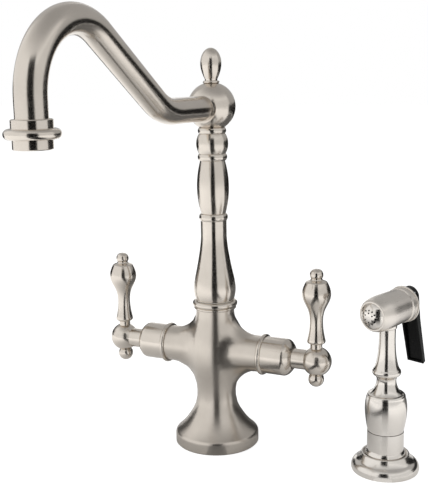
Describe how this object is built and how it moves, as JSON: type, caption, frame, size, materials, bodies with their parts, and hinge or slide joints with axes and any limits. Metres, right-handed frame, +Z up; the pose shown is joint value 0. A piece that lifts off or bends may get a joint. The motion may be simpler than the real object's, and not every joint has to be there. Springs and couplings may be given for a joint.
{
  "type": "two handle kitchen faucet",
  "caption": "Deck kitchen faucet with two lever handles on a cross-shaped body, a turned post with a swivelling swan-neck spout, and a pull-up side sprayer in its own holder.",
  "frame": {"origin": "on the deck plane, under the axis of the valve body and spout", "axes": "+Z up; +X along the arms towards the right-hand lever and the sprayer; the spout reaches towards -Y, to the user"},
  "size_m": [0.2762, 0.2939, 0.4069],
  "materials": {
    "satin_nickel": "satin brushed nickel plate over brass",
    "bright_nickel": "finely polished satin nickel plate over brass",
    "raw_brass": "machined",
    "plain_steel": "plain, lightly brushed",
    "black_rubber": "matte",
    "black_plastic": "semi-gloss moulded",
    "white_plastic": "moulded",
    "white_ceramic": "lapped ceramic"
  },
  "bodies": {
    "faucet_body": {"body_casting": "satin_nickel", "base_gasket": "black_rubber", "mounting_shank": "raw_brass", "deck_seal": "black_rubber", "deck_washer": "plain_steel", "deck_nut": "raw_brass", "diverter_valve": "raw_brass", "swivel_collar": "satin_nickel", "swivel_washer": "white_plastic", "left_seat_seal": "black_rubber", "left_fixed_disc": "white_ceramic", "left_cartridge_housing": "raw_brass", "left_arm_ring": "satin_nickel", "left_bonnet": "satin_nickel", "right_seat_seal": "black_rubber", "right_fixed_disc": "white_ceramic", "right_cartridge_housing": "raw_brass", "right_arm_ring": "satin_nickel", "right_bonnet": "satin_nickel", "sprayer_flange": "bright_nickel", "sprayer_flange_gasket": "black_rubber", "sprayer_guide": "bright_nickel", "guide_seal": "black_rubber", "guide_washer": "plain_steel", "guide_nut": "raw_brass"},
    "spout": {"spout_column": "satin_nickel", "column_o_rings": "black_rubber", "retaining_ring": "plain_steel", "spout_hub": "satin_nickel", "finial": "satin_nickel", "spout_tube": "satin_nickel", "outlet_collar": "satin_nickel", "aerator_shell": "satin_nickel", "aerator_insert": "white_plastic", "aerator_washer": "black_rubber"},
    "left_handle": {"left_lever_hub": "satin_nickel", "left_lever": "satin_nickel", "left_hub_knob": "satin_nickel", "left_spindle": "raw_brass", "left_moving_disc": "white_ceramic"},
    "right_handle": {"right_lever_hub": "satin_nickel", "right_lever": "satin_nickel", "right_hub_knob": "satin_nickel", "right_spindle": "raw_brass", "right_moving_disc": "white_ceramic"},
    "sprayer_hose_end": {"hose_coupling": "raw_brass"},
    "sprayer": {"sprayer_grip": "bright_nickel", "sprayer_neck": "bright_nickel", "sprayer_head": "bright_nickel", "spray_face": "bright_nickel", "sprayer_rear_ring": "bright_nickel", "sprayer_valve_body": "white_plastic", "trigger_pin": "plain_steel"},
    "trigger": {"sprayer_trigger": "black_plastic"},
    "plunger": {"sprayer_plunger": "raw_brass"}
  },
  "joints": [
    {"name": "spout_swivel", "type": "hinge", "parent": "faucet_body", "child": "spout", "pos_m": [0, 0, 0.125], "axis": [0, 0, 1], "continuous": true},
    {"name": "left_lever_turn", "type": "hinge", "parent": "faucet_body", "child": "left_handle", "pos_m": [-0.09, 0, 0.082], "axis": [1, 0, 0], "range_deg": [0, 90]},
    {"name": "right_lever_turn", "type": "hinge", "parent": "faucet_body", "child": "right_handle", "pos_m": [0.09, 0, 0.082], "axis": [1, 0, 0], "range_deg": [0, 90]},
    {"name": "sprayer_lift", "type": "slide", "parent": "faucet_body", "child": "sprayer_hose_end", "axis": [0, 0, 1], "range_m": [0, 0.12]},
    {"name": "sprayer_swivel", "type": "hinge", "parent": "sprayer_hose_end", "child": "sprayer", "pos_m": [0.1472, 0.002, 0.03], "axis": [0, 0, 1], "continuous": true},
    {"name": "trigger_squeeze", "type": "hinge", "parent": "sprayer", "child": "trigger", "pos_m": [0.15624, 0.02619, 0.13936], "axis": [-0.9367, 0.3502, 0], "range_deg": [0, 9], "stiffness_Nm_per_rad": 0.5, "springref_deg": -17.19},
    {"name": "plunger_slide", "type": "slide", "parent": "sprayer", "child": "plunger", "axis": [-0.3497, -0.9354, -0.0523], "range_m": [0, 0.0016]}
  ],
  "couplings": [
    {"joint": "plunger_slide", "follows": "trigger_squeeze", "m_per_rad": 0.0084}
  ]
}
